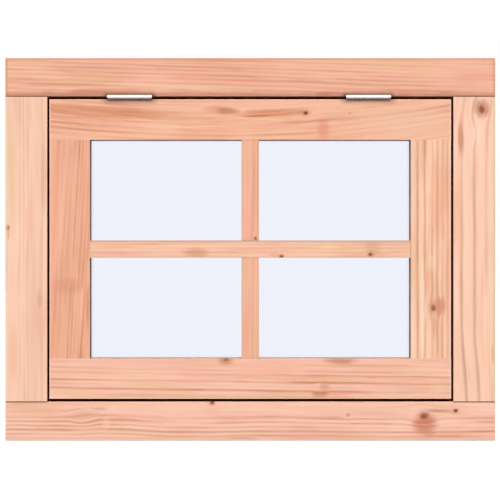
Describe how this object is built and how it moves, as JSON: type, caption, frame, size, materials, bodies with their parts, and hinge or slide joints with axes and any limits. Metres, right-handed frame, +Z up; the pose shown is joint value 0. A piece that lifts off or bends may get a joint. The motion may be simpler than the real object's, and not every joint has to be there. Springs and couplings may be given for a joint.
{
  "type": "top hung timber window",
  "caption": "Wooden top hung window: a fixed frame holds a glazed sash with cross bars, hung from butt hinges in the top gap and held shut by a peg stay inside.",
  "frame": {"origin": "on the underside of the sill, in the middle of the frame's width and depth", "axes": "+X to the right as seen from outside, +Y from outside to inside, +Z up"},
  "size_m": [0.896, 0.0745, 0.7],
  "materials": {
    "fir_frame": "planed, untreated Douglas fir",
    "fir_sash": "planed, untreated Douglas fir",
    "fir_bars": "planed, untreated Douglas fir",
    "fir_beads": "planed, untreated Douglas fir",
    "glazing_tape": "matt black foam tape",
    "glass": "clear float glass",
    "hinge_steel": "bright zinc plated steel",
    "stay_steel": "galvanised steel"
  },
  "bodies": {
    "root": {"bar_horizontal": "fir_bars", "bar_vertical_lower": "fir_bars", "bar_vertical_upper": "fir_bars", "frame_head": "fir_frame", "frame_jamb_left": "fir_frame", "frame_jamb_right": "fir_frame", "frame_sill": "fir_frame", "glass_lower_left": "glass", "glass_lower_right": "glass", "glass_upper_left": "glass", "glass_upper_right": "glass", "glazing_bead_lower_left_bottom": "fir_beads", "glazing_bead_lower_left_left": "fir_beads", "glazing_bead_lower_left_right": "fir_beads", "glazing_bead_lower_left_top": "fir_beads", "glazing_bead_lower_right_bottom": "fir_beads", "glazing_bead_lower_right_left": "fir_beads", "glazing_bead_lower_right_right": "fir_beads", "glazing_bead_lower_right_top": "fir_beads", "glazing_bead_upper_left_bottom": "fir_beads", "glazing_bead_upper_left_left": "fir_beads", "glazing_bead_upper_left_right": "fir_beads", "glazing_bead_upper_left_top": "fir_beads", "glazing_bead_upper_right_bottom": "fir_beads", "glazing_bead_upper_right_left": "fir_beads", "glazing_bead_upper_right_right": "fir_beads", "glazing_bead_upper_right_top": "fir_beads", "glazing_tape_lower_left": "glazing_tape", "glazing_tape_lower_right": "glazing_tape", "glazing_tape_upper_left": "glazing_tape", "glazing_tape_upper_right": "glazing_tape", "hinge_left_frame_leaf": "hinge_steel", "hinge_left_pin": "hinge_steel", "hinge_left_sash_leaf": "hinge_steel", "hinge_right_frame_leaf": "hinge_steel", "hinge_right_pin": "hinge_steel", "hinge_right_sash_leaf": "hinge_steel", "sash_bottom_rail": "fir_sash", "sash_stile_left": "fir_sash", "sash_stile_right": "fir_sash", "sash_top_rail": "fir_sash", "stay_bar": "stay_steel", "stay_bracket": "stay_steel", "stay_peg_left": "stay_steel", "stay_peg_right": "stay_steel"}
  },
  "joints": []
}
